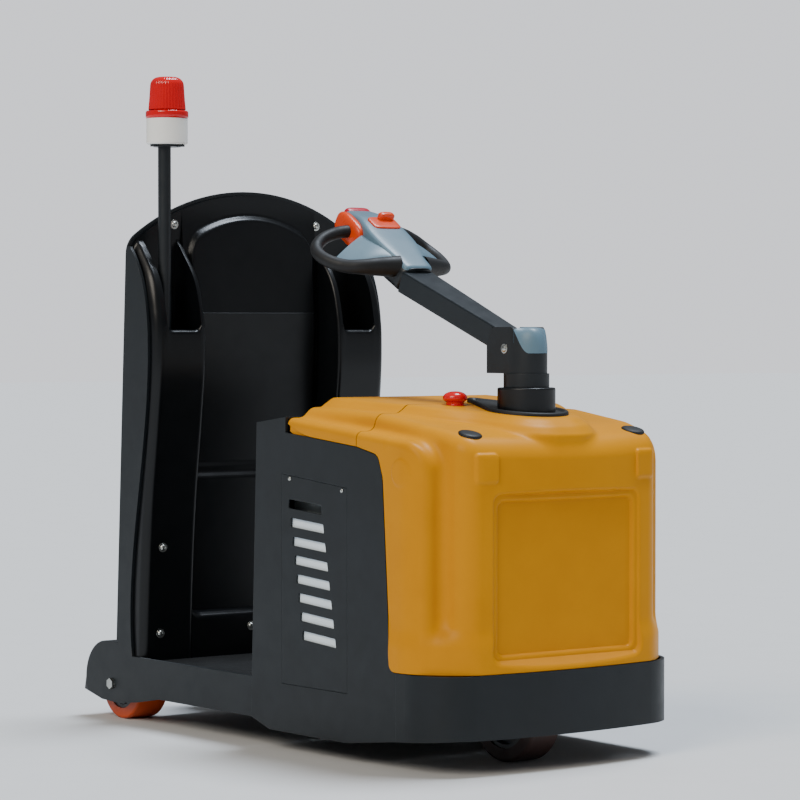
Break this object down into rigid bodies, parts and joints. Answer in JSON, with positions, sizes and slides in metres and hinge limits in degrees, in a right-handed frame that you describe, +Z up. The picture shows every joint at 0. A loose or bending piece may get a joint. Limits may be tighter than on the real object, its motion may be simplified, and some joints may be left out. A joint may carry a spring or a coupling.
{
  "type": "stand-on electric tow tractor",
  "caption": "Stand-on electric tow tractor with a moulded hood, a steered drive wheel under a tilting tiller, an operator platform with an arched backrest, and a warning beacon.",
  "frame": {"origin": "on the floor, under the middle of the overall length and width", "axes": "+X forward, towards the hood; +Y to the vehicle's left; +Z up"},
  "size_m": [1.49, 0.734, 1.603],
  "materials": {
    "charcoal_paint": "satin powder coat",
    "yellow_moulding": "satin moulded hood",
    "black_moulding": "fine grained moulding",
    "ribbed_rubber": "ribbed mat",
    "orange_polyurethane": "smooth polyurethane",
    "black_polyurethane": "smooth polyurethane",
    "cast_hub": "painted casting",
    "zinc_steel": "bright zinc plate",
    "battery_case": "pale moulded case",
    "red_plastic": "gloss red",
    "white_plastic": "gloss off-white",
    "red_lens": "clear red lens",
    "dark_casting": "satin dark grey",
    "arm_grey": "satin dark grey paint on aluminium",
    "head_grey": "fine grained grey moulding",
    "orange_plastic": "satin orange",
    "black_rubber": "soft black rubber"
  },
  "bodies": {
    "chassis": {"box_sides": "charcoal_paint", "access_panels": "charcoal_paint", "side_plates": "charcoal_paint", "wheel_housings": "charcoal_paint", "rear_axles": "zinc_steel", "front_skirt": "charcoal_paint", "bulkhead": "charcoal_paint", "platform_floor": "charcoal_paint", "floor_mat": "ribbed_rubber", "belly_plate": "charcoal_paint", "battery": "battery_case", "hood_nose": "yellow_moulding", "battery_cover": "yellow_moulding", "hood_caps": "black_rubber", "emergency_stop": "red_plastic", "column_gasket": "black_rubber", "back_plate": "charcoal_paint", "backrest_moulding": "black_moulding", "beacon_pole": "dark_casting", "beacon_bracket": "dark_casting", "beacon_base": "white_plastic", "beacon_lens": "red_lens", "tow_hitch": "dark_casting", "drive_mount": "charcoal_paint"},
    "steering": {"drive_case": "cast_hub", "drive_motor": "dark_casting", "steering_shaft": "zinc_steel", "column_foot": "black_moulding", "column_neck": "dark_casting", "tiller_yoke": "dark_casting", "pivot_bolt": "zinc_steel"},
    "drive_wheel": {"drive_tyre": "black_polyurethane", "drive_hub": "cast_hub"},
    "tiller": {"tiller_arm": "arm_grey", "head_housing": "head_grey", "grips": "black_rubber", "butterflies": "orange_plastic", "belly_button": "red_plastic", "thumb_switches": "orange_plastic"},
    "rear_wheel_right": {"rear_tyre_right": "orange_polyurethane", "rear_hub_right": "cast_hub"},
    "rear_wheel_left": {"rear_tyre_left": "orange_polyurethane", "rear_hub_left": "cast_hub"},
    "hitch_pin": {"hitch_pin": "zinc_steel"}
  },
  "joints": [
    {"name": "steering_turn", "type": "hinge", "parent": "chassis", "child": "steering", "pos_m": [0.578, 0, 0.262], "axis": [0, 0, 1], "range_deg": [-90, 90]},
    {"name": "drive_wheel_spin", "type": "hinge", "parent": "steering", "child": "drive_wheel", "pos_m": [0.566, -0.02, 0.115], "axis": [0, 1, 0], "continuous": true},
    {"name": "tiller_tilt", "type": "hinge", "parent": "steering", "child": "tiller", "pos_m": [0.558, 0, 0.9357], "axis": [0, 1, 0], "range_deg": [-20, 63.5]},
    {"name": "rear_wheel_right_spin", "type": "hinge", "parent": "chassis", "child": "rear_wheel_right", "pos_m": [-0.617, -0.2895, 0.09], "axis": [0, 1, 0], "continuous": true},
    {"name": "rear_wheel_left_spin", "type": "hinge", "parent": "chassis", "child": "rear_wheel_left", "pos_m": [-0.617, 0.2895, 0.09], "axis": [0, 1, 0], "continuous": true},
    {"name": "hitch_pin_lift", "type": "slide", "parent": "chassis", "child": "hitch_pin", "axis": [0, 0, 1], "range_m": [0, 0.09]}
  ]
}
